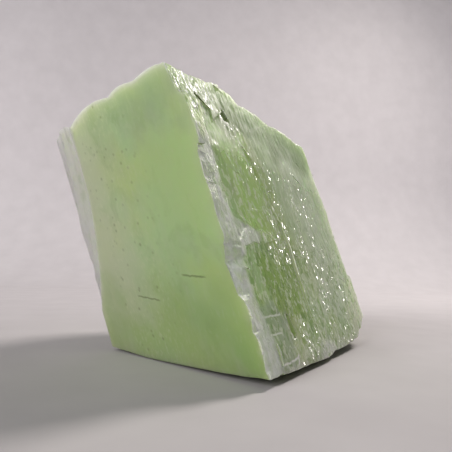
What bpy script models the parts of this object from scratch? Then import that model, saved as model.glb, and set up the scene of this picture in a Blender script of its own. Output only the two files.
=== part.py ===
# A hand-sized cleavage block of green calcite, resting on one of its cleavage faces.
#
# Calcite splits along three planes, so a broken piece is a leaning box, a rhomb, whose edges
# run along three fixed directions. Every place below is given along those edges, measured in
# millimetres from the front bottom corner:
#   u runs back and left along the ground, v runs back and right, and w runs up and left.
# The left front face is the plane v = 0, the right front face is u = 0, the ground is w = 0.
# Units in Blender are metres, +Z is up, and the origin is the middle of the box on the ground.

import math
import random

import bmesh
import bpy
from mathutils import Vector

MM = 0.001

# Driving dimensions, in millimetres
LEFT_EDGE = 47.4
RIGHT_EDGE = 62.4
UPRIGHT_EDGE = 55.4
FACE_ANGLE = math.radians(78.08)  # the sharp corner of a calcite cleavage face
BOX_CENTRE = (-4.8, 42.0)  # from the front bottom corner to the middle of the box, x and y

GRID_STEP = 1.5  # fineness of the broken top
OVERSHOOT = 5.0  # how far a cutter reaches past the face that it cuts
FEATHER_PAST = 0.08  # how far a sheet that runs out ends above the face
LIP = 1.2  # how far the lip near the top of the front edge stands proud of the rest of it
BARED_DEPTH = LIP + 0.32  # the right front face, where its white outer sheet is gone
SUNK_STEP = 0.42  # the long step on the right front face
EDGE_MARGIN = 0.4  # the same for an edge cutter's sloping side, as a share of its reach

CALCITE_GREEN = (0.30, 0.42, 0.19, 1.0)
CALCITE_ROUGHNESS = 0.35


def cleavage_axes():
    """Unit vectors of the three edges; the third leans away from the sharp corner."""
    half = FACE_ANGLE / 2
    left = Vector((-math.sin(half), math.cos(half), 0))
    right = Vector((math.sin(half), math.cos(half), 0))
    lean = -math.cos(FACE_ANGLE) / math.sin(half)
    upright = Vector((lean, 0, math.sqrt(1 - lean * lean)))
    return left, right, upright


AXES = cleavage_axes()


def place(u, v, w):
    """The point of the block at these edge distances, in metres."""
    point = AXES[0] * u + AXES[1] * v + AXES[2] * w
    return (point - Vector((*BOX_CENTRE, 0))) * MM


def new_object(name, points, faces):
    """A closed mesh object from points in edge distances."""
    shape = bmesh.new()
    corners = [shape.verts.new(place(*point)) for point in points]
    for face in faces:
        shape.faces.new([corners[i] for i in face])
    bmesh.ops.recalc_face_normals(shape, faces=shape.faces)
    mesh = bpy.data.meshes.new(name)
    shape.to_mesh(mesh)
    shape.free()
    made = bpy.data.objects.new(name, mesh)
    bpy.context.scene.collection.objects.link(made)
    return made


def cut(block, cutter):
    """Takes the cutter's shape out of the block and hides the cutter."""
    cutter.hide_render = True
    cutter.display_type = "WIRE"
    boolean = block.modifiers.new(cutter.name, "BOOLEAN")
    boolean.operation = "DIFFERENCE"
    boolean.solver = "EXACT"
    boolean.object = cutter


def prism(name, order, outline, ends):
    """A closed solid between two outlines, one at each end.

    order says which edge distances an outline's two numbers and the ends are: "uwv" is an
    outline in u and w with its ends in v. An end is a number, or a function of the outline's
    first number where that end slopes.
    """
    axis = ["uvw".index(letter) for letter in order]
    points = []
    for end in ends:
        for pair in outline:
            point = [0, 0, 0]
            point[axis[0]], point[axis[1]] = pair
            point[axis[2]] = end(pair[0]) if callable(end) else end
            points.append(point)
    count = len(outline)
    faces = [tuple(range(count)), tuple(range(count, 2 * count))]
    for i in range(count):
        after = (i + 1) % count
        faces.append((i, after, count + after, count + i))
    return new_object(name, points, faces)


def sheet(name, order, outline, level, inward, depth, feather=0.0, step_side=1):
    """A cutter that takes a sheet off the face at this level; inward is 1 or -1.

    With feather the sheet leaves one step, on the outline's high side where step_side is 1 and
    on its low side where it is -1. Towards the other side it runs out to depth - feather.
    """
    firsts = [pair[0] for pair in outline]
    width = max(firsts) - min(firsts)
    stepped = max(firsts) if step_side > 0 else min(firsts)

    def floor(first):
        return level + inward * (depth - feather * abs(stepped - first) / width)

    return prism(name, order, outline, (level - inward * OVERSHOOT, floor))


# The broken top: rounded lumps that meet in creases. Each is u, v, w of its crown and the
# radius of its curve. Those along the two front edges give the top's scalloped outline.
LEFT_RIM_LUMPS = [(5.8, 1.5, 55.6, 22), (15.6, 0.5, 55.1, 11), (25.2, 0.5, 54.35, 24)]
LEFT_RIM_LUMPS += [(42.0, 1.5, 52.8, 7)]
RIGHT_RIM_LUMPS = [(2.2, 8.0, 55.4, 14), (1.7, 17.6, 57.1, 16), (2.2, 29.0, 56.1, 28)]
RIGHT_RIM_LUMPS += [(2.7, 43.5, 56.1, 30), (4.2, 56.0, 55.8, 18)]
SHARP_END_OF_LUMP = (17.6, 21.4)  # v of the lump that ends in a drop, and where it ends
LUMP_SPACING = 8.0
FIRST_INNER_ROW = 8.0
BACK_FALL = 0.045  # how much lower the top gets for each millimetre towards the back


def top_lumps():
    """All lumps of the top, the inner ones scattered with a fixed seed."""
    scatter = random.Random(11)
    lumps = LEFT_RIM_LUMPS + RIGHT_RIM_LUMPS
    rows = int(LEFT_EDGE / LUMP_SPACING)
    columns = int(RIGHT_EDGE / LUMP_SPACING)
    for row in range(rows + 1):
        for column in range(columns + 1):
            u = FIRST_INNER_ROW + row * LUMP_SPACING + scatter.uniform(-2.6, 2.6)
            v = FIRST_INNER_ROW + column * LUMP_SPACING + scatter.uniform(-2.6, 2.6)
            fall = BACK_FALL * (u + v)
            crown = UPRIGHT_EDGE - fall + scatter.uniform(-1.1, 0.7)
            lumps.append((u, v, crown, scatter.uniform(10, 20)))
    return lumps


def top_height(u, v, lumps):
    """The highest lump over this place; a rim lump with a sharp end stops there."""
    best = 0
    for lump_u, lump_v, crown, radius in lumps:
        if lump_v == SHARP_END_OF_LUMP[0] and v > SHARP_END_OF_LUMP[1]:
            continue
        spread = (u - lump_u) ** 2 + (v - lump_v) ** 2
        best = max(best, crown - spread / (2 * radius))
    return best


def make_block():
    """The leaning box with the lumpy top, before anything is broken off it."""
    lumps = top_lumps()
    across = round(LEFT_EDGE / GRID_STEP)
    along = round(RIGHT_EDGE / GRID_STEP)
    points = []
    for i in range(across + 1):
        for j in range(along + 1):
            u = LEFT_EDGE * i / across
            v = RIGHT_EDGE * j / along
            points.append((u, v, top_height(u, v, lumps)))

    def at(i, j):
        return i * (along + 1) + j

    faces = []
    for i in range(across):
        for j in range(along):
            faces.append((at(i, j), at(i + 1, j), at(i + 1, j + 1), at(i, j + 1)))
    base = len(points)
    points += [(0, 0, 0), (LEFT_EDGE, 0, 0), (LEFT_EDGE, RIGHT_EDGE, 0), (0, RIGHT_EDGE, 0)]
    rims = [
        [at(i, 0) for i in range(across + 1)],
        [at(across, j) for j in range(along + 1)],
        [at(i, along) for i in range(across, -1, -1)],
        [at(0, j) for j in range(along, -1, -1)],
    ]
    for side, rim in enumerate(rims):
        faces.append([base + side, base + (side + 1) % 4] + rim[::-1])
    faces.append([base, base + 1, base + 2, base + 3])
    return new_object("green_calcite", points, faces)


def worn_edge(name, along, start, inward, stations):
    """A cutter that takes the corner off one edge of the block.

    along is the letter of the edge's direction and start is a point of the edge. inward gives
    the two directions across it, as (letter, sign). Each station is a distance along the edge,
    then how far the break reaches over the first face and over the second.
    """
    first, second = [("uvw".index(letter), sign) for letter, sign in inward]
    points = []
    for distance, over_first, over_second in stations:
        section = [
            (over_first * (1 + EDGE_MARGIN), -over_second * EDGE_MARGIN),
            (-over_first * EDGE_MARGIN, over_second * (1 + EDGE_MARGIN)),
            (-OVERSHOOT, over_second * (1 + EDGE_MARGIN)),
            (-OVERSHOOT, -OVERSHOOT),
            (over_first * (1 + EDGE_MARGIN), -OVERSHOOT),
        ]
        for a, b in section:
            point = list(start)
            point["uvw".index(along)] = distance
            point[first[0]] += first[1] * a
            point[second[0]] += second[1] * b
            points.append(point)
    sides = len(section)
    last = sides * (len(stations) - 1)
    faces = [tuple(range(sides)), tuple(range(last, last + sides))]
    for here in range(0, last, sides):
        for k in range(sides):
            a, b = here + k, here + (k + 1) % sides
            faces.append((a, b, b + sides))
            faces.append((a, b + sides, a + sides))
    return new_object(name, points, faces)


def chipped_stations(seed, low, high, spacing, depths):
    """Stations for an edge that isn't seen from the front, with a fixed seed."""
    scatter = random.Random(seed)
    stations = []
    distance = low - OVERSHOOT
    while distance < high + OVERSHOOT:
        size = scatter.uniform(*depths)
        skew = scatter.uniform(0.6, 1.6)
        stations.append((distance, size, size * skew))
        distance += scatter.uniform(0.5, 1.5) * spacing
    return stations


def front_station(height, over_left, over_right):
    """A station of the front edge below its lip, given by its reach from where the edge is there."""
    whole = LIP + over_left
    return height, whole, over_right * whole / over_left


# The front edge is crushed all the way up: its height, then the break's reach over the left
# face and over the right face. From 14 to 24 it is one smooth chip, then a lip is left, and
# at the top it widens.
FRONT_EDGE = [front_station(*station) for station in (
    (-5, 0.6, 1.6), (2.5, 0.5, 1.6), (5.5, 0.3, 2.2), (9, 0.5, 1.4), (11.5, 0.35, 2.3),
    (14.2, 0.5, 1.7), (15.4, 1.5, 3.0), (20, 1.8, 3.5), (23.6, 1.0, 3.3), (25, 0.35, 2.0),
    (28, 0.5, 2.6), (31, 0.3, 1.8), (34.5, 0.5, 2.4), (38, 0.3, 1.9), (39.6, 0.35, 2.4),
)]
FRONT_EDGE += [(41.0, 0.5, 2.6), (44.0, 0.25, 1.6), (46.5, 0.35, 2.4), (49.2, 0.8, 3.6)]
FRONT_EDGE += [(50.4, 2.0, 11.0), (54, 2.6, 15.0), (62, 3.2, 21.0)]

# The bottom edges are broken away underneath, so the front corner hangs clear of the ground.
BOTTOM_RIGHT_EDGE = [(-6, 2.1, 9.0), (4, 1.9, 9.0), (12, 1.7, 8.0), (17, 1.75, 7.6)]
BOTTOM_RIGHT_EDGE += [(24, 1.5, 6.2), (34, 2.3, 6.8), (42, 2.4, 7.0), (49, 3.2, 9.0)]
BOTTOM_RIGHT_EDGE += [(55, 5.2, 10.5), (60, 7.6, 13.5), (68, 11.6, 18.5)]
BOTTOM_LEFT_EDGE = [(-6, 2.1, 9.0), (2, 1.7, 8.5), (7, 1.25, 7.5), (13, 0.9, 6.0)]
BOTTOM_LEFT_EDGE += [(23, 0.55, 4.0), (32, 0.3, 2.0), (41, 0.6, 2.0), (53, 1.1, 3.2)]


def wear_edges(block):
    """Breaks every edge of the block."""
    cut(block, worn_edge("front_edge_break", "w", (0, 0, 0), (("u", 1), ("v", 1)), FRONT_EDGE))
    under_right = (("w", 1), ("u", 1))
    cut(block, worn_edge("right_undercut", "v", (0, 0, 0), under_right, BOTTOM_RIGHT_EDGE))
    under_left = (("w", 1), ("v", 1))
    cut(block, worn_edge("left_undercut", "u", (0, 0, 0), under_left, BOTTOM_LEFT_EDGE))

    far = (LEFT_EDGE, RIGHT_EDGE, 0)
    hidden = [
        ("left_edge_wear", "w", (LEFT_EDGE, 0, 0), (("u", -1), ("v", 1)), 21, (0.25, 0.6)),
        ("right_edge_wear", "w", (0, RIGHT_EDGE, 0), (("v", -1), ("u", 1)), 22, (0.3, 0.8)),
        ("back_edge_wear", "w", far, (("v", -1), ("u", -1)), 23, (0.5, 2.2)),
        ("back_left_foot", "v", (LEFT_EDGE, 0, 0), (("w", 1), ("u", -1)), 24, (0.4, 1.3)),
        ("back_right_foot", "u", (0, RIGHT_EDGE, 0), (("w", 1), ("v", -1)), 25, (0.4, 1.5)),
    ]
    spans = {"u": LEFT_EDGE, "v": RIGHT_EDGE, "w": UPRIGHT_EDGE}
    for name, along, start, inward, seed, depths in hidden:
        stations = chipped_stations(seed, 0, spans[along], 6.0, depths)
        cut(block, worn_edge(name, along, start, inward, stations))


# Outlines on the left front face, in u and w: the thin set-back strip along its left edge
LEFT_STRIP = [(37.4, 62), (37.6, 43), (38.1, 36), (39.1, 31), (40.6, 25.5), (42.8, 19)]
LEFT_STRIP += [(45.4, 12.5), (48.4, 6), (55.2, 6), (55.2, 62)]
LEFT_STRIP_INNER = [(41.1, 62), (41.5, 44), (42.6, 33), (44.6, 24), (47.2, 17), (55.2, 17), (55.2, 62)]
LEFT_STRIP_OUTER = [(44.3, 62), (44.6, 48), (45.8, 36), (47.6, 28), (55.2, 28), (55.2, 62)]

# Outlines on the right front face, in v and w. Only the lip keeps the full depth. A white
# sheet is left along the front edge, with a hook half way up; right of it the next sheets are
# bared, and a long step runs down.
BEHIND_LIP = [(-4, 40.2), (1.4, 40.9), (3.3, 42.4), (3.0, 44.6), (4.1, 46.8), (3.8, 49.0)]
BEHIND_LIP += [(6.2, 51.0), (6.6, 62), (70, 62), (70, -4), (-4, -4)]
BARED_FIELD = [(5.2, -4), (5.4, 2.2), (6.4, 5.6), (4.6, 9), (4.9, 12.6), (4.3, 17), (4.7, 21)]
BARED_FIELD += [(5.8, 23.9), (9.2, 24.9), (12.4, 24.7), (17.4, 25.6), (19.8, 26.3), (15.2, 27.2)]
BARED_FIELD += [(10.2, 28.4), (6.6, 30.2), (5.9, 33.6), (5.0, 36.4), (6.8, 40.4), (5.4, 44.2)]
BARED_FIELD += [(8.8, 47.6), (13.6, 50.9), (17.2, 62), (70, 62), (70, -4)]
SUNK_FIELD = [(8.6, 3.4), (7.4, 7.2), (8.8, 11.4), (7.6, 16.8), (9.4, 22.6), (13.6, 23.4)]
SUNK_FIELD += [(19.6, 24.6), (22.4, 26.8), (20.6, 31.4), (19.6, 37.2), (18.2, 41.6), (17.6, 45.4)]
SUNK_FIELD += [(20.8, 42.6), (22.8, 34.2), (25.0, 29.8), (25.9, 24.8), (25.5, 17.6), (25.4, 11.4)]
SUNK_FIELD += [(26.4, 7.6), (24.2, 4.6), (16.4, 2.6)]
DARK_SLIT = [(13.7, 11.4), (14.5, 11.0), (15.3, 7.6), (14.6, 6.4), (13.9, 7.9)]
SMALL_PIT = [(13.3, 51.2), (14.6, 51.6), (15.5, 50.0), (14.5, 49.2)]

# The right edge leans a little more than the cleavage does, and its top corner is off.
RIGHT_PROFILE = [(55.6, 62), (57.7, 55.4), (58.6, 51.6), (58.5, 46), (60.8, 35), (61.7, 24)]
RIGHT_PROFILE += [(62.3, 13), (61.9, -4), (70, -4), (70, 62)]


def carve_front_faces(block):
    """The named ledges, steps and pits of the two faces that meet at the front edge."""
    left_face = ("uwv", 0, 1)
    right_face = ("vwu", 0, 1)
    sheets = [
        ("left_strip_ledge", left_face, LEFT_STRIP, 1.0),
        ("left_strip_inner_step", left_face, LEFT_STRIP_INNER, 1.45),
        ("left_strip_outer_step", left_face, LEFT_STRIP_OUTER, 1.95),
        ("behind_lip", right_face, BEHIND_LIP, LIP),
        ("bared_field", right_face, BARED_FIELD, BARED_DEPTH),
        ("dark_slit", right_face, DARK_SLIT, BARED_DEPTH + 2.1),
        ("small_pit", right_face, SMALL_PIT, BARED_DEPTH + 1.6),
    ]
    for name, (order, level, inward), outline, depth in sheets:
        cut(block, sheet(name, order, outline, level, inward, depth))

    # the sunk field slopes in from the left, so its one step is the long line on its right
    order, level, inward = right_face
    feather = SUNK_STEP + FEATHER_PAST
    depth = BARED_DEPTH + SUNK_STEP
    cut(block, sheet("sunk_field", order, SUNK_FIELD, level, inward, depth, feather))
    through = (-OVERSHOOT, LEFT_EDGE + OVERSHOOT)
    cut(block, prism("right_edge_profile", "vwu", RIGHT_PROFILE, through))


def ragged_outline(scatter, centre, half_first, half_second):
    """A four-sided outline with its corners knocked about."""
    corners = []
    for side_first, side_second in ((-1, -1), (1, -1), (1, 1), (-1, 1)):
        corners.append((
            centre[0] + side_first * half_first * scatter.uniform(0.75, 1.15),
            centre[1] + side_second * half_second * scatter.uniform(0.8, 1.1),
        ))
    return corners


# Low cleavage steps scattered over a face: where the face is and which way is in, the seed,
# how many, the half sizes of a sheet in the outline's two directions, and its depth. Sheets of
# the right front face run out on one side, so each shows as one low step that leans with the
# block and faces away from the front edge.
STEPPED_FACES = [
    {"name": "right_face_step", "order": "vwu", "level": BARED_DEPTH, "inward": 1, "seed": 37,
     "count": 13, "half": ((1.2, 3.4), (5, 13)), "depth": (0.12, 0.26), "feathered": True},
    {"name": "back_left_step", "order": "vwu", "level": LEFT_EDGE, "inward": -1, "seed": 42,
     "count": 8, "half": ((3, 9), (12, 28)), "depth": (0.3, 1.5), "feathered": False},
    {"name": "back_right_step", "order": "uwv", "level": RIGHT_EDGE, "inward": -1, "seed": 33,
     "count": 7, "half": ((3, 8), (10, 26)), "depth": (1.2, 2.8), "feathered": False},
    {"name": "base_step", "order": "uvw", "level": 0, "inward": 1, "seed": 34,
     "count": 3, "half": ((6, 11), (2, 4)), "depth": (0.5, 1.0), "feathered": False},
]


def carve_steps(block):
    """Low cleavage steps over every face but the smooth left one, with fixed seeds."""
    edge_length = {"u": LEFT_EDGE, "v": RIGHT_EDGE, "w": UPRIGHT_EDGE}
    for face in STEPPED_FACES:
        scatter = random.Random(face["seed"])
        order = face["order"]
        across, up = edge_length[order[0]], edge_length[order[1]]
        for number in range(face["count"]):
            centre = (
                across * (number + scatter.uniform(0.1, 0.9)) / face["count"],
                up * scatter.uniform(0.1, 0.9),
            )
            half = [scatter.uniform(*span) for span in face["half"]]
            outline = ragged_outline(scatter, centre, *half)
            depth = scatter.uniform(*face["depth"])
            feather = depth + FEATHER_PAST if face["feathered"] else 0
            name = f"{face['name']}_{number + 1}"
            level, inward = face["level"], face["inward"]
            cut(block, sheet(name, order, outline, level, inward, depth, feather, step_side=-1))


# Broken sheets on the top, in u and v, with the level that each is cut down to
TOP_TERRACES = [
    ([(19, 24), (31, 21), (52, 26), (52, 70), (24, 70), (21, 46)], 51.6),
    ([(30, 36), (38, 33), (52, 37), (52, 70), (33, 70)], 50.1),
    ([(37, 5), (52, 6), (52, 16), (39, 13)], 50.9),
    ([(7, 47), (16, 45), (21, 52), (19, 70), (10, 70)], 52.9),
]


def carve_top(block):
    """Flat cleavage ledges in the lumpy top, behind its front rims."""
    for number, (outline, level) in enumerate(TOP_TERRACES):
        cut(block, prism(f"top_ledge_{number + 1}", "uvw", outline, (level, level + 20)))


def calcite_material():
    """Pale green calcite, waxy where it has split and sugary where it is crushed."""
    material = bpy.data.materials.new("green calcite")
    material.use_nodes = True
    shader = material.node_tree.nodes["Principled BSDF"]
    shader.inputs["Base Color"].default_value = CALCITE_GREEN
    shader.inputs["Roughness"].default_value = CALCITE_ROUGHNESS
    shader.inputs["Metallic"].default_value = 0.0
    shader.inputs["IOR"].default_value = 1.6
    shader.inputs["Subsurface Weight"].default_value = 0.3
    shader.inputs["Subsurface Radius"].default_value = (0.004, 0.006, 0.003)
    return material


def main():
    for old in list(bpy.data.objects):
        bpy.data.objects.remove(old, do_unlink=True)
    block = make_block()
    carve_top(block)
    carve_front_faces(block)
    carve_steps(block)
    wear_edges(block)
    block.data.materials.append(calcite_material())


main()
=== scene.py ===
import math

import bmesh
import bpy
import numpy as np
from mathutils import Euler, Matrix, Vector


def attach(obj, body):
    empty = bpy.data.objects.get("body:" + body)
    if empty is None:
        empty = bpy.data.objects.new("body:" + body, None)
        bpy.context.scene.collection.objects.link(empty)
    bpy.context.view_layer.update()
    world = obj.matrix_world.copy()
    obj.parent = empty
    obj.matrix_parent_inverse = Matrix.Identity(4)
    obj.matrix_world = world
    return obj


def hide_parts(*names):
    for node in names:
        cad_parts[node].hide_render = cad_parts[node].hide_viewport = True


# Green calcite: a leaning block, split along its three cleavage planes.
# Places on the block are given in millimetres along its three edges, from the front bottom
# corner: u runs back and left, v runs back and right, w runs up the front edge.

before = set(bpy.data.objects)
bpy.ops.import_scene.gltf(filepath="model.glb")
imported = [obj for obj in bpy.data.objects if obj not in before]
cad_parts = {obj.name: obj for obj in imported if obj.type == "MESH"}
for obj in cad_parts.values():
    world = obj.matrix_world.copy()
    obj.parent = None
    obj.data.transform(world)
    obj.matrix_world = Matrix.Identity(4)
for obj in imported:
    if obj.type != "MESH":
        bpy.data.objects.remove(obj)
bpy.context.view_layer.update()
print("frame loaded")

crystal = {
    "faceAngle": 78.08,  # degrees, the sharp corner of a calcite cleavage face
    "frontCorner": (4.8, -42.0, 0.0),  # mm, the corner's place in the frame
    "edges": (47.4, 62.4, 55.4),  # mm, along u, v and w
}
mm = 0.001


def cleavageAxes():
    # the third edge leans away from the sharp corner
    half = math.radians(crystal["faceAngle"]) / 2
    lean = -math.cos(2 * half) / math.sin(half)
    left = Vector((-math.sin(half), math.cos(half), 0))
    right = Vector((math.sin(half), math.cos(half), 0))
    upright = Vector((lean, 0, math.sqrt(1 - lean * lean)))
    return left, right, upright


axes = cleavageAxes()
toEdges = Matrix(axes).transposed().inverted()  # rows give u, v and w of a point
corner = Vector(crystal["frontCorner"])
outward = {
    "left": axes[2].cross(axes[0]).normalized(),
    "right": axes[1].cross(axes[2]).normalized(),
    "top": Vector((0, 0, 1)),
    "under": Vector((0, 0, -1)),
}
outward["backRight"] = -outward["left"]
outward["backLeft"] = -outward["right"]


def toLinear(hexColour):
    # sRGB hex to the linear values that sockets take
    channels = [int(hexColour[i:i + 2], 16) / 255 for i in (1, 3, 5)]
    linear = [c / 12.92 if c <= 0.04045 else ((c + 0.055) / 1.055) ** 2.4 for c in channels]
    return (*linear, 1.0)


def nodeAdder(tree):
    def add(kind, inputs=None, pick=0, **settings):
        # adds one node, sets it, links or fills its inputs and gives back one output
        node = tree.nodes.new("ShaderNode" + kind)
        for name, value in settings.items():
            setattr(node, name, value)
        for name, value in (inputs or {}).items():
            if isinstance(value, bpy.types.NodeSocket):
                tree.links.new(value, node.inputs[name])
            else:
                node.inputs[name].default_value = value
        return node.outputs[pick] if node.outputs else None
    return add


def newMaterial(name):
    material = bpy.data.materials.new(name)
    material.use_nodes = True
    material.node_tree.nodes.clear()
    return material, nodeAdder(material.node_tree)


# The camera, where the photograph's perspective puts it
cameraView = {
    "fromCorner": (-17.7, -67.7, 18.1),  # mm
    "turn": (96.0, -1.4, -7.3),  # degrees
    "halfWidth": 226,  # pixels of the photograph
    "focalLength": 440,  # pixels
}


def makeCamera():
    data = bpy.data.cameras.new("camera")
    data.angle = 2 * math.atan(cameraView["halfWidth"] / cameraView["focalLength"])
    data.clip_start = 0.005
    data.clip_end = 20
    camera = bpy.data.objects.new("camera", data)
    bpy.context.scene.collection.objects.link(camera)
    camera.location = (Vector(cameraView["fromCorner"]) + corner) * mm
    camera.rotation_euler = Euler([math.radians(a) for a in cameraView["turn"]])
    bpy.context.scene.camera = camera


# A pale sheet of paper that curves up into the wall behind
studio = {
    "depth": (-1.2, 0.30),  # m, from front to the foot of the curve
    "halfWidth": 1.6,
    "curve": 0.16,
    "curveSteps": 16,
    "height": 1.3,
    "paper": ("#c3bfc0", "#c9c5c6"),
    "keyFrom": (0.54, 0.40, 0.74),  # direction of the soft lamp, from the right and behind
    "keyDistance": 0.75,
    "keySize": 0.20,
    "keySpread": 120,  # degrees, so that the wall close behind the lamp gets no hot spot
    "keyPower": 1.56,
    "keyColour": "#fff8f2",
    "fillFrom": (-1.0, -0.9, 0.62),  # low, from the left, so it reaches the leaning left face
    "fillDistance": 1.6,
    "fillSize": 0.9,
    "fillPower": 14.0,
    "fillColour": "#fbf9fc",
    "air": "#f1eff2",
    "airStrength": 0.15,
    # low lamps on both sides that light the wall: place, aim and power
    "wallLamps": (((0.50, 0.06, 0.30), (0.14, 0.46, 0.18), 0.46),
                  ((-0.55, 0.02, 0.25), (-0.30, 0.46, 0.08), 0.48)),
    "wallLampSize": 0.3,
    "wallLampSpread": 110,
    "wallLampColour": "#fffafa",
}


def makeFloor():
    low, foot = studio["depth"]
    radius = studio["curve"]
    profile = [(low, 0.0), (foot, 0.0)]
    for step in range(1, studio["curveSteps"] + 1):
        angle = math.pi / 2 * step / studio["curveSteps"]
        profile.append((foot + radius * math.sin(angle), radius * (1 - math.cos(angle))))
    profile.append((foot + radius, studio["height"]))
    points = []
    for y, z in profile:
        points += [(-studio["halfWidth"], y, z), (studio["halfWidth"], y, z)]
    faces = [(i, i + 1, i + 3, i + 2) for i in range(0, len(points) - 2, 2)]
    mesh = bpy.data.meshes.new("paperSweep")
    mesh.from_pydata(points, [], faces)
    mesh.polygons.foreach_set("use_smooth", [True] * len(faces))
    sweep = bpy.data.objects.new("paperSweep", mesh)
    bpy.context.scene.collection.objects.link(sweep)

    # uncoated paper: matt, with a faint mottle
    material, add = newMaterial("uncoated pale paper")
    place = add("TexCoord", pick=3)
    mottle = add("TexNoise", {"Vector": place, "Scale": 60.0, "Detail": 4.0})
    shade = add("MapRange", {0: mottle, 1: 0.3, 2: 0.7, 3: 0.0, 4: 1.0})
    dark, pale = studio["paper"]
    tint = add("Mix", {0: shade, 6: toLinear(dark), 7: toLinear(pale)}, pick=2, data_type="RGBA")
    shader = add("BsdfPrincipled", {"Base Color": tint, "Roughness": 0.9})
    add("OutputMaterial", {"Surface": shader})
    sweep.data.materials.append(material)


def makeLamp(name, place, aim, size, power, colour, spread=180):
    data = bpy.data.lights.new(name, "AREA")
    data.shape = "DISK"
    data.size = size
    data.energy = power
    data.spread = math.radians(spread)
    data.color = toLinear(colour)[:3]
    lamp = bpy.data.objects.new(name, data)
    bpy.context.scene.collection.objects.link(lamp)
    lamp.location = place
    lamp.rotation_euler = (Vector(aim) - Vector(place)).to_track_quat("-Z", "Y").to_euler()
    lamp.visible_camera = False


def makeLight():
    middle = (0, 0, 0)
    key = Vector(studio["keyFrom"]).normalized() * studio["keyDistance"]
    makeLamp("softKey", key, middle, studio["keySize"], studio["keyPower"],
             studio["keyColour"], studio["keySpread"])
    fill = Vector(studio["fillFrom"]).normalized() * studio["fillDistance"]
    makeLamp("fill", fill, middle, studio["fillSize"], studio["fillPower"],
             studio["fillColour"])
    for place, aim, power in studio["wallLamps"]:
        makeLamp("wallLamp", place, aim, studio["wallLampSize"], power,
                 studio["wallLampColour"], studio["wallLampSpread"])
    world = bpy.data.worlds.new("air")
    bpy.context.scene.world = world
    world.use_nodes = True
    background = world.node_tree.nodes["Background"]
    background.inputs["Color"].default_value = toLinear(studio["air"])
    background.inputs["Strength"].default_value = studio["airStrength"]
    bpy.context.scene.view_settings.view_transform = "Standard"


makeCamera()
makeFloor()
makeLight()
print("camera, paper and light made")


# The block: the CAD solid, diced along its cleavage so that it can take fine relief
blockShape = {
    "dice": (0.9, 0.8, 0.9),  # mm, spacing of the cuts along u, v and w
    "pastEdges": 3,  # mm, how far past the edges the cuts go on
    "cutTolerance": 1e-6,  # m
    # finer cuts: on faces that look right, this deep in from the right face, and beside the
    # front edge
    "fineFacing": 0.35,
    "fineDepth": 5.0,  # mm
    "fineBesideEdge": 3.5,  # mm
    "fineCuts": 2,
    "mergeDistance": 0.002,  # mm
    "flatAngle": 0.05,  # degrees, below which neighbouring triangles are one face
    "smoothAngle": 25,  # degrees
    "weightLevels": 20,
    "windowCalm": 0.85,  # how much of the hackles a window takes away
    # rounds of smoothing: the lumps on top lose their flats, the left face its faint steps
    "smoothing": {"top": 6, "calm": 40, "front": 8, "right": 26},
    # windows of smooth, clear crystal in the right face: ranges of v, then of w
    "windows": (((9, 21), (9, 19)), ((9, 18), (31, 45)), ((5, 12), (3, 10))),
    # white crushed band along the front edge: how far it reaches over each face, by height w
    "bandOverRight": ((2, 5.2), (6, 5.9), (13, 4.1), (21, 3.5), (24, 6.0), (25.5, 13.0),
                      (26.8, 15.0), (27.8, 9.3), (29.3, 5.2), (33.4, 3.5), (41, 5.5),
                      (44.2, 4.6), (48.5, 8.0), (52.4, 11.8), (56, 14.0)),
    "bandOverLeft": ((0, 0.6), (8, 1.1), (14, 0.8), (16, 2.4), (21, 2.4), (24, 1.6),
                     (29, 0.8), (35, 1.2), (40, 0.5), (50, 0.5), (54, 3.0)),
}

# Relief in mm: its size across and along the front edge's direction, and its height
reliefs = (
    {"name": "rightLedges", "side": "right", "kind": "CELL_NOISE", "size": (5.5, 26),
     "height": 0.08, "depth": 0},
    {"name": "rightHackles", "side": "hackled", "kind": "VORONOI_F2_F1", "size": (1.3, 3.6),
     "height": 0.16, "depth": 1},
    {"name": "rightSplinters", "side": "hackled", "kind": "BLENDER_ORIGINAL", "size": (0.9, 3.0),
     "height": 0.22, "depth": 1},
    {"name": "rightWaves", "side": "right", "kind": "BLENDER_ORIGINAL", "size": (9, 20),
     "height": 0.30, "depth": 1},
    {"name": "crush", "side": "crushed", "kind": "VORONOI_F2_F1", "size": (1.2, 1.9),
     "height": 0.17, "depth": 2},
    {"name": "leftWaves", "side": "left", "kind": "BLENDER_ORIGINAL", "size": (13, 22),
     "height": 0.22, "depth": 1},
    {"name": "topGrain", "side": "top", "kind": "BLENDER_ORIGINAL", "size": (3.0, 3.0),
     "height": 0.30, "depth": 2},
    {"name": "backSteps", "side": "back", "kind": "CELL_NOISE", "size": (4.0, 18),
     "height": 0.25, "depth": 1},
    {"name": "backWaves", "side": "back", "kind": "BLENDER_ORIGINAL", "size": (2.4, 9),
     "height": 0.25, "depth": 2},
)


def copyOfNode(name, newName):
    # a CAD node's mesh is loose triangles, so its doubles are merged
    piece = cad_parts[name].copy()
    piece.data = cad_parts[name].data.copy()
    piece.name = newName
    piece.data.name = newName
    bpy.context.scene.collection.objects.link(piece)
    piece.data.materials.clear()
    bpy.ops.object.select_all(action="DESELECT")
    piece.select_set(True)
    bpy.context.view_layer.objects.active = piece
    bpy.ops.object.mode_set(mode="EDIT")
    bpy.ops.mesh.select_all(action="SELECT")
    bpy.ops.mesh.remove_doubles(threshold=blockShape["mergeDistance"] * mm)
    bpy.ops.mesh.dissolve_degenerate(threshold=blockShape["mergeDistance"] * mm)
    bpy.ops.mesh.dissolve_limited(angle_limit=math.radians(blockShape["flatAngle"]))
    bpy.ops.object.mode_set(mode="OBJECT")
    return piece


def splitManySided(shape):
    bmesh.ops.triangulate(shape, faces=[f for f in shape.faces if len(f.verts) > 4])


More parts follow.
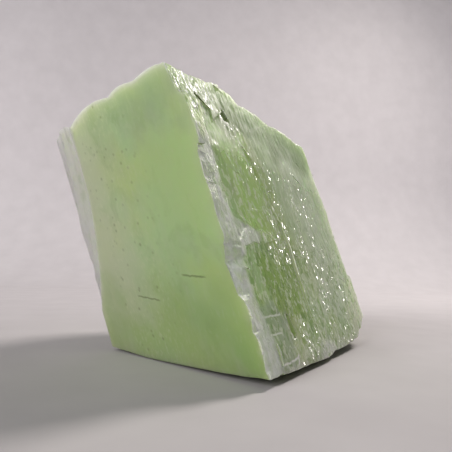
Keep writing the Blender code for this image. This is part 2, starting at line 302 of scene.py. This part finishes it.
def dice(piece):
    shape = bmesh.new()
    shape.from_mesh(piece.data)
    across = [axes[1].cross(axes[2]), axes[2].cross(axes[0]), axes[0].cross(axes[1])]
    for axis, normal, edge, step in zip(axes, across, crystal["edges"], blockShape["dice"]):
        place = step / 2
        while place < edge + blockShape["pastEdges"]:
            everything = shape.verts[:] + shape.edges[:] + shape.faces[:]
            bmesh.ops.bisect_plane(
                shape, geom=everything, dist=blockShape["cutTolerance"],
                plane_co=(corner + axis * place) * mm, plane_no=normal,
            )
            place += step
    splitManySided(shape)

    # the right face is rougher, so its squares are cut finer
    fine = set()
    for face in shape.faces:
        u, v, w = toEdges @ (face.calc_center_median() / mm - corner)
        looksRight = face.normal.dot(outward["right"]) > blockShape["fineFacing"]
        onRight = looksRight and u < blockShape["fineDepth"]
        if onRight or max(u, v) < blockShape["fineBesideEdge"]:
            fine.update(face.edges)
    bmesh.ops.subdivide_edges(shape, edges=list(fine), cuts=blockShape["fineCuts"],
                              use_grid_fill=True)
    splitManySided(shape)
    shape.to_mesh(piece.data)
    shape.free()


def pointsOf(piece):
    # places along the edges in mm and normals, one row for each point
    count = len(piece.data.vertices)
    places = np.empty(count * 3)
    normals = np.empty(count * 3)
    piece.data.vertices.foreach_get("co", places)
    piece.data.vertex_normals.foreach_get("vector", normals)
    places = places.reshape(-1, 3)
    fromCorner = places / mm - np.array(corner)
    return fromCorner @ np.array(toEdges).T, normals.reshape(-1, 3), places


def fade(value, start, end):
    # 0 at start, 1 at end, smooth between, for numbers and arrays
    t = np.clip((value - start) / (end - start), 0, 1)
    return t * t * (3 - 2 * t)


def sidesOf(piece):
    # how far each point belongs to each side of the block, 0 to 1
    edges, normals, places = pointsOf(piece)
    u, v, w = edges.T
    facing = {name: normals @ np.array(direction) for name, direction in outward.items()}
    overRight = np.interp(w, *zip(*blockShape["bandOverRight"]))
    overLeft = np.interp(w, *zip(*blockShape["bandOverLeft"]))
    share = np.maximum(v / overRight, u / overLeft * fade(facing["left"], 0.2, 0.6))
    front = fade(u, 5.0, 3.5) * fade(facing["top"], -0.8, -0.5)
    crushed = fade(share, 1.15, 0.8) * front
    clearOfGround = fade(places[:, 2] / mm, 0.2, 2.0)
    right = fade(facing["right"], 0.55, 0.85)
    left = fade(facing["left"], 0.80, 0.95)
    top = fade(facing["top"], 0.55, 0.80)
    back = fade(np.maximum(-facing["right"], -facing["left"]), 0.6, 0.85)
    window = np.zeros(len(u))
    for (low, high), (foot, head) in blockShape["windows"]:
        across = fade(v, low - 2, low) * fade(v, high + 2, high)
        window = np.maximum(window, across * fade(w, foot - 3, foot) * fade(w, head + 3, head))
    calm = left * fade(u, 2.5, 4.5) * fade(u, 35.5, 34.0) * fade(w, 3.0, 5.0) * fade(v, 0.6, 0.3)
    return {
        "right": right * clearOfGround, "left": left * clearOfGround,
        "hackled": right * clearOfGround * (1 - blockShape["windowCalm"] * window),
        "top": top, "back": back * clearOfGround, "crushed": crushed * clearOfGround,
        "calm": calm, "front": front * clearOfGround * fade(v, 6.0, 4.0),
    }


def paintGroups(piece):
    steps = blockShape["weightLevels"]
    for name, weights in sidesOf(piece).items():
        group = piece.vertex_groups.new(name=name)
        levels = np.round(weights * steps).astype(int)
        for level in range(1, steps + 1):
            points = np.nonzero(levels == level)[0]
            if len(points):
                group.add(points.tolist(), level / steps, "REPLACE")


def applyModifier(piece, modifier):
    bpy.context.view_layer.objects.active = piece
    bpy.ops.object.modifier_apply(modifier=modifier.name)


def smoothSides(piece):
    for name, rounds in blockShape["smoothing"].items():
        rounding = piece.modifiers.new(name, "SMOOTH")
        rounding.factor = 0.5
        rounding.iterations = rounds
        rounding.vertex_group = name
        applyModifier(piece, rounding)


def addRelief(piece, relief):
    # clouds measured from an empty that lies along the front edge and is stretched along it
    across, along = relief["size"]
    turn = axes[2].to_track_quat("Z", "Y").to_euler()
    bpy.ops.object.empty_add(location=corner * mm, rotation=turn)
    ruler = bpy.context.object
    ruler.scale = (across * mm, across * mm, along * mm)
    bpy.context.view_layer.update()
    clouds = bpy.data.textures.new(relief["name"], "CLOUDS")
    clouds.noise_scale = 1.0
    clouds.noise_basis = relief["kind"]
    clouds.noise_depth = relief["depth"]
    displace = piece.modifiers.new(relief["name"], "DISPLACE")
    displace.texture = clouds
    displace.texture_coords = "OBJECT"
    displace.texture_coords_object = ruler
    displace.vertex_group = relief["side"]
    displace.strength = relief["height"] * mm
    displace.mid_level = 0.5
    applyModifier(piece, displace)
    bpy.data.objects.remove(ruler)


block = copyOfNode("green_calcite", "calciteBlock")
dice(block)
print("block diced:", len(block.data.polygons), "faces")
paintGroups(block)
smoothSides(block)
for relief in reliefs:
    addRelief(block, relief)
print("relief added")


def markSurface(piece):
    # two numbers for each point: how crushed it is and how sharply it bends outwards
    mesh = piece.data
    edges, normals, places = pointsOf(piece)
    ends = np.empty(len(mesh.edges) * 2, dtype=int)
    mesh.edges.foreach_get("vertices", ends)
    first, second = ends.reshape(-1, 2).T
    step = places[second] - places[first]
    length = np.linalg.norm(step, axis=1) / mm
    bend = ((normals[second] - normals[first]) * step / mm).sum(axis=1)
    bend /= np.maximum(length, 0.05)
    total = len(places)
    count = np.bincount(ends, minlength=total)
    wearAndCreaseShade = (np.bincount(first, bend, total) + np.bincount(second, bend, total)) / count
    for smoothing in range(2):
        spread = np.bincount(first, wearAndCreaseShade[second], total)
        spread = (spread + np.bincount(second, wearAndCreaseShade[first], total)) / count
        wearAndCreaseShade = (wearAndCreaseShade + spread) / 2
    marks = {"crushed": sidesOf(piece)["crushed"], "wearAndCreaseShade": np.clip(wearAndCreaseShade, -1, 1)}
    for name, values in marks.items():
        attribute = mesh.attributes.new(name, "FLOAT", "POINT")
        attribute.data.foreach_set("value", values.astype(np.float32))


block.vertex_groups.clear()
markSurface(block)
bpy.ops.object.select_all(action="DESELECT")
block.select_set(True)
bpy.context.view_layer.objects.active = block
bpy.ops.object.shade_smooth_by_angle(angle=math.radians(blockShape["smoothAngle"]))
print("surface marked")


# Calcite, split and partly crushed: waxy and cloudy where it is smooth, so light soaks in and
# glows back, clearer and glinting where it has splintered, white and sugary where it is crushed
calciteLook = {
    "ior": 1.6,
    "coolGreen": "#b8d49a",
    "warmGreen": "#bfd48c",
    "soak": (0.85, 1.0, 0.65),  # how far red, green and blue light travel, against each other
    "soakDepth": 14.0,  # mm
    "clearColour": "#b9dc92",  # of light that passes straight through
    "clearDensity": 22.0,  # per metre
    "crushedWhite": "#dfe6dc",
    "wornEdge": "#cfd9bf",
    # colour of the painted shade laid into creases and hollows
    "creaseShade": "#8fab68",
    # colour of splinters: white broken calcite, lightened further as a painted glint
    "splinterAndGlint": "#eef5e2",
    "speck": "#7d8d5a",
    "wornAmount": 0.20,
    "creaseShadeAmount": 0.12,
    "whiteAmount": 0.9,
    "whiteLeast": 0.55,  # how white crushed calcite is between its whitest grains
    "clearEverywhere": 0.08,
    "soakEverywhere": 0.9,
    "soakWhereChalky": 0.25,
    "backPatches": 0.6,  # patches on the back faces, against those on the right face
    "bump": 0.12,  # mm
    "grainBump": (0.06, 0.5),  # everywhere, and how much more where it is crushed
    "fibreBump": 0.12,
}

# How rough the surface is: on the left and the right face, how much rougher in other places,
# and what it is on splinters
roughness = {
    "left": 0.34, "right": 0.17, "sugar": 0.08, "top": 0.35, "white": 0.36, "apex": 0.30,
    "splinterAndGlint": 0.18,
}

# How squarely a surface faces a side of the block: cosines where it starts to count as that
# side and where it fully does
facingRanges = {
    "left": (0.70, 0.90), "right": (0.40, 0.75), "top": (0.00, 0.45), "backRight": (0.30, 0.70),
    "backLeft": (0.30, 0.70), "under": (0.45, 0.75),
}

# Places in mm along one edge where something starts, then where it is full
zones = {
    "lowHalf": (34, 24),  # w, deeper green shades
    "hazeAcross": (23, 33),  # v, the smooth haze in the upper right, with few patches
    "hazeUp": (18, 30),  # w
    "nearTop": (42, 47),  # w, fewer patches
    "specksAcross": (14, 24),  # u, specks and dust in the left part of the left face
    "strip": (37.5, 36),  # u, but none on its set-back strip
    "looseEnd": (43, 48),  # w, no splinters away from the break line
    "pastRidge": (8, 14),  # v, more of them
    "apex": (41, 46),  # w, where the crushed band breaks up into strokes
}

# Clouds: size in mm across and along w, where their contrast starts and is full, and detail
clouds = {
    "tone": (11, 15, 0.35, 0.65, 3.0),
    "swarm": (4, 9, 0.38, 0.56, 3.0),
    "sugar": (1.0, 1.6, 0.30, 0.62, 6.0),
    "strokes": (0.50, 3.6, 0.57, 0.62, 1.0),
    "grain": (0.35, 0.6, 0.2, 0.8, 5.0),
}

# Veils: clouds as above, their colour, how much of it, and how chalky they are
veils = {
    "pale": ((4.5, 9, 0.50, 0.75, 3.0), "#bbcaa2", 0.35, 0.0),
    "deep": ((5, 9, 0.50, 0.72, 3.0), "#92af66", 0.25, 0.0),
    "fine": ((0.9, 2.2, 0.52, 0.74, 3.0), "#c3d1a8", 0.25, 0.0),
    "fibres": ((0.42, 3.0, 0.50, 0.70, 3.0), "#d3debd", 0.15, 0.0),
    "patches": ((1.1, 1.7, 0.54, 0.62, 3.0), "#e4eed2", 0.60, 0.5),
    "shades": ((1.3, 2.0, 0.52, 0.62, 3.0), "#7fa552", 0.50, 0.0),
    "dust": ((0.7, 1.3, 0.48, 0.72, 4.0), "#d5dcb8", 0.35, 0.3),
}

# Tiny dark specks: how many for each mm, size as shares of their cell, how rare, how much
# darker and how chalky
specks = {
    "perMm": 0.6, "size": (0.28, 0.10), "rarity": (0.35, 0.75), "amount": 0.6, "chalk": 0.4,
}

# Splinters on the right face: cell size in mm across and along, how rare, how much paler (white
# broken calcite, and partly a painted glint), tilt
hackles = (
    {"size": (0.70, 1.6), "rarity": 0.62, "amount": 0.75, "tilt": 0.95},
    {"size": (0.45, 1.0), "rarity": 0.55, "amount": 0.95, "tilt": 1.0},
)
hackleSpread = {
    # they gather along this line on the right face: w in mm, then v
    "line": ((0, 28.6), (4.4, 27.6), (11, 25.3), (17.6, 25.3), (24.8, 25.7), (29.8, 24.5),
             (34.5, 21.3), (37.4, 19.8), (40.7, 18.6), (44.3, 18.0), (47.9, 16.3),
             (49.9, 11.4), (51.5, 6), (56, 3)),
    "span": (56, 30),  # mm, the range of w and v that the line's curve is drawn in
    "halfWidth": 6.5,  # mm
    "onLine": 0.8,
    "core": (0.42, 0.30),  # where a splinter starts and is full, as shares of its cell
    # their small faces turn up, towards the next cleavage plane, low down more than high up:
    # w in mm, then the turn
    "lean": ((12, (-0.52, 0.0, 0.66)), (52, (-0.27, 0.0, 0.18))),
    "disorder": 0.65,
    "leanElsewhere": 0.04,
}

# Areas that differ in colour: the side they are on, where they fade in along the edges in mm
# (edge, nothing at, full at), colour, how much of it, and how much clearer the crystal is
# there, or below zero how much it is crushed
areas = (
    # the top is painted darker and made chalky: painted shade against the strong key light that
    # falls on it and would soak through the block
    ("top", (), "#94a77e", 0.85, -0.3),
    ("back", (), "#a9b998", 0.70, 0.0),
    # faces that look down are painted dark olive, painted shade as they only see the shadowed
    # floor, and made chalky so that no light glows out of them
    ("under", (), "#66713f", 0.85, -0.6),
    ("left", (("w", 38, 54),), "#a2b48e", 0.80, 0.0),
    ("left", (("w", 27, 8),), "#9db974", 0.65, 0.05),
    ("left", (("u", 23, 12), ("w", 18, 26), ("w", 48, 38)), "#b6d492", 0.60, 0.0),
    ("left", (("u", 14, 3), ("w", 14, 4)), "#9fbf70", 0.60, 0.05),
    ("left", (("u", 19, 37), ("w", 4, 16)), "#c7cfac", 0.85, 0.0),
    ("left", (("u", 32, 44), ("w", 20, 8)), "#acb987", 0.60, 0.0),
    # the thin set-back strip by the left edge is milky and paler, and its near-white is partly
    # painted light from the pale wall that shows through it
    ("left", (("u", 36, 38), ("v", 0.25, 0.6)), "#f0f3e4", 0.95, 0.20),
    ("right", (("v", 7, 10), ("v", 25, 20), ("w", 8, 11), ("w", 23, 18)), "#a3c95f", 0.80, 0.12),
    ("right", (("v", 7, 11), ("v", 23, 17), ("w", 26, 31), ("w", 49, 43)), "#cbee90", 0.80, 0.12),
    ("right", (("v", 21, 40), ("w", 4, 16)), "#dbe9cd", 0.90, 0.0),
    ("right", (("w", 10, 3),), "#cfe2b9", 0.60, 0.0),
    ("right", (("v", 16, 11), ("v", 2, 4), ("w", 15, 11)), "#bdd0b2", 0.75, 0.1),
    ("right", (("v", 22, 27), ("v", 42, 36), ("w", 5.5, 2.0)), "#dfe6da", 0.85, -0.7),
    ("right", (("v", 46, 56), ("w", 26, 14)), "#ecf6da", 0.90, 0.0),
    # the top of the right face is painted a darker green: painted shade, as it turns up towards
    # the key light
    ("right", (("w", 44, 52),), "#83a062", 0.80, 0.0),
)

# Fine lines: side, places in mm (u or v, then w), width, colour and how much of it. From this
# amount on they are healed cracks, which are milky
milkyFrom = 0.9
lines = (
    ("left", ((14.9, 18.4), (9.0, 18.2)), 0.16, "#62743f", 0.6),
    ("left", ((30.7, 13.6), (23.7, 13.2)), 0.18, "#6b7a4b", 0.6),
    ("left", ((38.6, 47.6), (38.3, 38.2), (39.4, 31.5), (41.0, 25.8), (43.4, 19.0)),
     0.45, "#f2f5e6", 0.9),
    ("left", ((40.3, 46.0), (40.0, 38.2), (40.9, 32.5), (42.0, 28.0)), 0.30, "#eef2e0", 0.6),
    # the long break: painted highlight where its step edge catches the light, made milky like a
    # healed crack
    ("right", ((22.4, 31.5), (24.5, 29.8), (25.7, 24.8), (25.3, 17.6), (25.3, 11.0), (27.6, 4.4)),
     0.70, "#dfeac8", 0.9),
    # a pale line of glints down from the apex: painted highlight
    ("right", ((5.9, 50.2), (11.4, 49.9), (16.3, 47.9), (18.0, 44.3), (18.6, 40.7)),
     0.80, "#e3ecd6", 0.55),
    ("right", ((3.5, 11.4), (11.0, 11.6)), 0.20, "#e2eadb", 0.9),
    ("right", ((4.7, 8.3), (9.5, 8.4)), 0.20, "#e2eadb", 0.9),
    ("right", ((6.0, 3.1), (9.2, 3.0), (12.9, 3.3), (13.3, 3.7), (12.0, 1.9)),
     0.26, "#eef2e8", 0.95),
    ("right", ((8.7, 38.9), (14.5, 39.1)), 0.9, "#c3dba0", 0.7),
    ("right", ((14.3, 10.6), (14.5, 6.8)), 0.9, "#3f4a33", 0.85),
    # a small pit near the top: its dark is painted shade
    ("right", ((29.3, 56.1), (29.9, 54.5)), 0.7, "#4c5a44", 0.8),
)


def cloud(add, edges, across, along, start, full, detail):
    # clouds from 0 to 1
    stretched = add("VectorMath", {0: edges, 1: (1 / across, 1 / across, 1 / along)},
                    operation="MULTIPLY")
    noise = add("TexNoise", {"Vector": stretched, "Scale": 1.0, "Detail": detail})
    return add("MapRange", {0: noise, 1: start, 2: full, 3: 0.0, 4: 1.0},
               interpolation_type="SMOOTHSTEP")


def together(add, shares):
    product = shares[0]
    for share in shares[1:]:
        product = add("Math", {0: product, 1: share}, operation="MULTIPLY")
    return product


def lineShare(add, flat, start, end, width):
    # 1 on a straight line from start to end on one face, 0 past half its width
    direction = Vector(end) - Vector(start)
    length = direction.length
    direction.normalize()
    middle = (Vector(start) + Vector(end)) / 2
    offset = add("VectorMath", {0: flat, 1: (*middle, 0)}, operation="SUBTRACT")
    shares = []
    across = direction.orthogonal()
    for way, half, soft in ((direction, length / 2, 0.3), (across, width / 2, 0.2)):
        reach = add("VectorMath", {0: offset, 1: (*way, 0)}, pick=1, operation="DOT_PRODUCT")
        reach = add("Math", {0: reach}, operation="ABSOLUTE")
        full = max(half - 2 * soft, half * 0.4)
        shares.append(add("MapRange", {0: reach, 1: half + soft, 2: full, 3: 0.0, 4: 1.0},
                          interpolation_type="SMOOTHSTEP"))
    return together(add, shares)


def calciteMaterial():
    material, add = newMaterial("translucent green calcite")
    place = add("TexCoord", pick=3)
    fromCorner = add("VectorMath", {0: place, 1: corner * mm}, operation="SUBTRACT")
    u, v, w = [
        add("VectorMath", {0: fromCorner, 1: row / mm}, pick=1, operation="DOT_PRODUCT")
        for row in toEdges
    ]
    edges = add("CombineXYZ", {0: u, 1: v, 2: w})
    centre = (0.5, 0.5, 0.5)  # of a noise colour

    # borders of areas wander by a few mm
    drift = add("TexNoise", {"Vector": edges, "Scale": 0.13, "Detail": 4.0}, pick=1)
    drift = add("VectorMath", {0: drift, 1: centre}, operation="SUBTRACT")
    wandering = add("VectorMath", {0: drift, 1: (14, 14, 22), 2: edges}, operation="MULTIPLY_ADD")
    split = add("SeparateXYZ", {0: wandering}).node
    drifted = dict(zip("uvw", split.outputs))

    # fine marks waver by a fraction of a mm
    ripple = add("TexNoise", {"Vector": edges, "Scale": 0.8, "Detail": 2.0}, pick=1)
    ripple = add("VectorMath", {0: ripple, 1: centre}, operation="SUBTRACT")
    rippled = add("VectorMath", {0: ripple, 1: (1.0, 1.0, 2.0), 2: edges},
                  operation="MULTIPLY_ADD")
    elsewhere = add("VectorMath", {0: rippled, 1: (31, 17, 9)}, operation="ADD")

    def zone(name, along, least=0.0, most=1.0):
        start, full = zones[name]
        return add("MapRange", {0: along, 1: start, 2: full, 3: least, 4: most})

    normal = add("NewGeometry", pick=1)
    side = {}
    for name, (start, full) in facingRanges.items():
        facing = add("VectorMath", {0: normal, 1: outward[name]}, pick=1,
                     operation="DOT_PRODUCT")
        side[name] = add("MapRange", {0: facing, 1: start, 2: full, 3: 0.0, 4: 1.0})
    notRight = add("Math", {0: 1.0, 1: side["right"]}, operation="SUBTRACT")
    side["top"] = together(add, [side["top"], notRight])
    side["back"] = add("Math", {0: side["backRight"], 1: side["backLeft"]}, operation="MAXIMUM")

    # slow mottle of the crystal itself
    tone = cloud(add, edges, *clouds["tone"])
    colour = add("Mix", {0: tone, 6: toLinear(calciteLook["coolGreen"]),
                         7: toLinear(calciteLook["warmGreen"])}, pick=2, data_type="RGBA")
    layers = []  # share, colour and amount, in the order that they are laid on
    chalky = []  # share and how chalky
    clear = calciteLook["clearEverywhere"]
    window = 0.0  # where the right face is clear and unbroken
    for name, ranges, hexColour, amount, clearer in areas:
        shares = [side[name]]
        for edge, start, full in ranges:
            thin = edge == "v" and name == "left"  # the set-back strip is told by its depth
            along = v if thin else drifted[edge]
            shares.append(add("MapRange", {0: along, 1: start, 2: full, 3: 0.0, 4: 1.0},
                              interpolation_type="SMOOTHSTEP"))
        share = together(add, shares)
        layers.append((share, hexColour, amount))
        if clearer < 0:
            chalky.append((share, -clearer))
        elif clearer:
            clear = add("Math", {0: share, 1: clearer, 2: clear}, operation="MULTIPLY_ADD")
        if clearer > 0 and name == "right":
            window = add("Math", {0: share, 1: 0.9, 2: window}, operation="MULTIPLY_ADD")

    def veil(name, places, *masks):
        shape, hexColour, amount, chalk = veils[name]
        share = together(add, [cloud(add, places, *shape), *masks])
        layers.append((share, hexColour, amount))
        if chalk:
            chalky.append((share, chalk))
        return share

    # veils everywhere, drawn out along the front edge, and finer ones on the rough faces
    veil("pale", edges)
    veil("deep", wandering)
    veil("fine", edges)
    fibres = veil("fibres", rippled, side["right"])
    haze = together(add, [zone("hazeAcross", v), zone("hazeUp", w)])
    unhazed = add("Math", {0: haze, 1: -0.7, 2: 1.0}, operation="MULTIPLY_ADD")
    rough = together(add, [side["right"], unhazed, zone("nearTop", w, least=1.0, most=0.4)])
    rough = add("Math", {0: side["back"], 1: calciteLook["backPatches"], 2: rough},
                operation="MULTIPLY_ADD")
    veil("patches", rippled, rough)
    veil("shades", elsewhere, side["right"], zone("lowHalf", w))

    # specks and dust under the left face
    grains = add("TexVoronoi", {"Vector": edges, "Scale": specks["perMm"]}).node
    start, full = specks["size"]
    small = add("MapRange", {0: grains.outputs["Distance"], 1: start, 2: full, 3: 0.0, 4: 1.0})
    some = add("SeparateXYZ", {0: grains.outputs["Color"]})
    start, full = specks["rarity"]
    some = add("MapRange", {0: some, 1: start, 2: full, 3: 0.0, 4: 1.0})
    spot = together(add, [zone("specksAcross", drifted["u"]), zone("strip", u)])
    share = together(add, [small, some, spot, side["left"]])
    layers.append((share, calciteLook["speck"], specks["amount"]))
    chalky.append((share, specks["chalk"]))
    veil("dust", edges, spot, side["left"])

    opaque = 0.0
    for share, amount in chalky:
        opaque = add("Math", {0: share, 1: amount, 2: opaque}, operation="MULTIPLY_ADD")

    # hackles: short lifted splinters that lie along the front edge's direction. They gather
    # along one long break line and are few in the clear windows
    tallest, widest = hackleSpread["span"]
    risen = add("Math", {0: w, 1: 1 / tallest}, operation="MULTIPLY")
    path = add("FloatCurve", {"Value": risen})
    curve = path.node.mapping.curves[0]
    foot, *between, head = hackleSpread["line"]
    for height, across in between:
        curve.points.new(height / tallest, across / widest)
    curve.points[0].location = (0, foot[1] / widest)
    curve.points[-1].location = (1, head[1] / widest)
    path.node.mapping.update()
    aside = add("Math", {0: path, 1: widest}, operation="MULTIPLY")
    aside = add("Math", {0: aside, 1: v}, operation="SUBTRACT")
    aside = add("Math", {0: aside}, operation="ABSOLUTE")
    near = add("MapRange", {0: aside, 1: hackleSpread["halfWidth"], 2: 0.5, 3: 0.0, 4: 1.0},
               interpolation_type="SMOOTHSTEP")
    near = add("Math", {0: near, 1: hackleSpread["onLine"]}, operation="MULTIPLY")
    swarm = together(add, [
        cloud(add, edges, *clouds["swarm"]),
        zone("looseEnd", w, least=1.0, most=0.0),
        zone("pastRidge", v, least=0.15),
    ])
    swarm = add("Math", {0: near, 1: swarm}, operation="MAXIMUM")
    busy = add("Math", {0: window, 1: -0.7, 2: 1.0}, operation="MULTIPLY_ADD")
    swarm = together(add, [swarm, busy, side["right"]])
    (lowEnd, lowLean), (highEnd, highLean) = hackleSpread["lean"]
    upward = add("MapRange", {0: w, 1: lowEnd, 2: highEnd, 3: 0.0, 4: 1.0})
    leaning = add("Mix", {0: upward, 4: lowLean, 5: highLean}, pick=1, data_type="VECTOR")
    tilted = normal
    flaked = 0.0
    for kind in hackles:
        across, along = kind["size"]
        cells = add("VectorMath", {0: rippled, 1: (1 / across, 1 / across, 1 / along)},
                    operation="MULTIPLY")
        flakes = add("TexVoronoi", {"Vector": cells, "Scale": 1.0}).node
        start, full = hackleSpread["core"]
        core = add("MapRange", {0: flakes.outputs["Distance"], 1: start, 2: full, 3: 0.0, 4: 1.0})
        chosen = add("SeparateXYZ", {0: flakes.outputs["Color"]})
        chosen = add("MapRange", {0: chosen, 1: kind["rarity"], 2: kind["rarity"] + 0.04,
                                  3: 0.0, 4: 1.0})
        share = together(add, [core, chosen, swarm])
        # pale splinters: partly white broken calcite, partly a painted glint
        layers.append((share, calciteLook["splinterAndGlint"], kind["amount"]))
        opaque = add("Math", {0: opaque, 1: share}, operation="MAXIMUM")
        flaked = add("Math", {0: flaked, 1: share}, operation="MAXIMUM")
        tilt = add("VectorMath", {0: flakes.outputs["Color"], 1: centre}, operation="SUBTRACT")
        disorder = (hackleSpread["disorder"],) * 3
        tilt = add("VectorMath", {0: tilt, 1: disorder, 2: leaning}, operation="MULTIPLY_ADD")
        lean = add("Math", {0: share, 1: kind["tilt"], 2: hackleSpread["leanElsewhere"]},
                   operation="MULTIPLY_ADD")
        lean = together(add, [lean, side["right"]])
        tilt = add("VectorMath", {0: tilt, "Scale": lean}, operation="SCALE")
        tilted = add("VectorMath", {0: tilted, 1: tilt}, operation="ADD")
    tilted = add("VectorMath", {0: tilted}, operation="NORMALIZE")

    # bruised edges and crushed calcite are white; hollows get painted shade, a deeper green that
    # stands in for the shade in creases
    wearAndCreaseShade = add("Attribute", pick=2, attribute_name="wearAndCreaseShade")
    crushed = add("Attribute", pick=2, attribute_name="crushed")
    uncrushed = add("Math", {0: 1.0, 1: crushed}, operation="SUBTRACT")
    raised = add("MapRange", {0: wearAndCreaseShade, 1: 0.10, 2: 0.60, 3: 0.0, 4: 1.0})
    creaseShadeShare = add("MapRange", {0: wearAndCreaseShade, 1: -0.10, 2: -0.60, 3: 0.0, 4: 1.0})
    raised = together(add, [raised, uncrushed])
    layers.append((raised, calciteLook["wornEdge"], calciteLook["wornAmount"]))
    # painted shade: concave places are darkened towards a deeper green
    layers.append((creaseShadeShare, calciteLook["creaseShade"], calciteLook["creaseShadeAmount"]))
    sugar = cloud(add, edges, *clouds["sugar"])
    apex = zone("apex", w)
    strokes = cloud(add, rippled, *clouds["strokes"])
    white = add("MapRange", {0: sugar, 1: 0.0, 2: 1.0, 3: calciteLook["whiteLeast"], 4: 1.0})
    # at the apex the crushed white breaks into glossy strokes, partly crushed calcite and partly
    # painted glints
    white = add("Mix", {0: apex, 2: white, 3: strokes}, data_type="FLOAT")
    white = together(add, [crushed, white])
    layers.append((white, calciteLook["crushedWhite"], calciteLook["whiteAmount"]))

    # fine lines
    flat = {}
    for name, along in (("left", u), ("right", v)):
        flat[name] = add("CombineXYZ", {0: along, 1: w})
        flat[name] = add("VectorMath", {0: ripple, 1: (0.6, 0.6, 0.0), 2: flat[name]},
                         operation="MULTIPLY_ADD")
    for name, points, width, hexColour, amount in lines:
        for start, end in zip(points, points[1:]):
            share = together(add, [lineShare(add, flat[name], start, end, width), side[name]])
            layers.append((share, hexColour, amount))
            if amount >= milkyFrom:
                opaque = add("Math", {0: opaque, 1: share}, operation="MAXIMUM")

    for share, hexColour, amount in layers:
        amount = add("Math", {0: share, 1: amount}, operation="MULTIPLY")
        colour = add("Mix", {0: amount, 6: colour, 7: toLinear(hexColour)}, pick=2,
                     data_type="RGBA")

    # fine grain and fibres
    grain = cloud(add, edges, *clouds["grain"])
    least, more = calciteLook["grainBump"]
    fineness = add("Math", {0: crushed, 1: more, 2: least}, operation="MULTIPLY_ADD")
    height = together(add, [grain, fineness])
    height = add("Math", {0: fibres, 1: calciteLook["fibreBump"], 2: height},
                 operation="MULTIPLY_ADD")
    bump = add("Bump", {"Height": height, "Normal": tilted, "Strength": 1.0,
                        "Distance": calciteLook["bump"] * mm})

    # splinters and the strokes at the apex are glossy
    matt = add("MapRange", {0: side["right"], 1: 0.0, 2: 1.0, 3: roughness["left"],
                            4: roughness["right"]})
    for name, share in (("sugar", sugar), ("top", side["top"]), ("white", white), ("apex", apex)):
        matt = add("Math", {0: share, 1: roughness[name], 2: matt}, operation="MULTIPLY_ADD")
    glossy = together(add, [crushed, strokes, apex])
    glossy = add("Math", {0: flaked, 1: glossy}, operation="MAXIMUM")
    matt = add("Mix", {0: glossy, 2: matt, 3: roughness["splinterAndGlint"]}, data_type="FLOAT")

    # crushed and splintered calcite scatters light right at its surface
    opaque = add("Math", {0: opaque, 1: white}, operation="MAXIMUM")
    sound = add("Math", {0: 1.0, 1: opaque}, operation="SUBTRACT")
    clear = together(add, [clear, sound])
    soaking = add("MapRange", {0: opaque, 1: 0.0, 2: 1.0, 3: calciteLook["soakEverywhere"],
                               4: calciteLook["soakWhereChalky"]})

    shader = add("BsdfPrincipled", {
        "Base Color": colour, "Roughness": matt, "IOR": calciteLook["ior"],
        "Subsurface Weight": soaking, "Subsurface Radius": calciteLook["soak"],
        "Subsurface Scale": calciteLook["soakDepth"] * mm,
        "Transmission Weight": clear, "Normal": bump,
    })
    soaked = add("VolumeAbsorption", {
        "Color": toLinear(calciteLook["clearColour"]), "Density": calciteLook["clearDensity"],
    })
    add("OutputMaterial", {"Surface": shader, "Volume": soaked})
    return material


block.data.materials.append(calciteMaterial())
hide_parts("green_calcite")
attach(block, "root")
print("block finished")
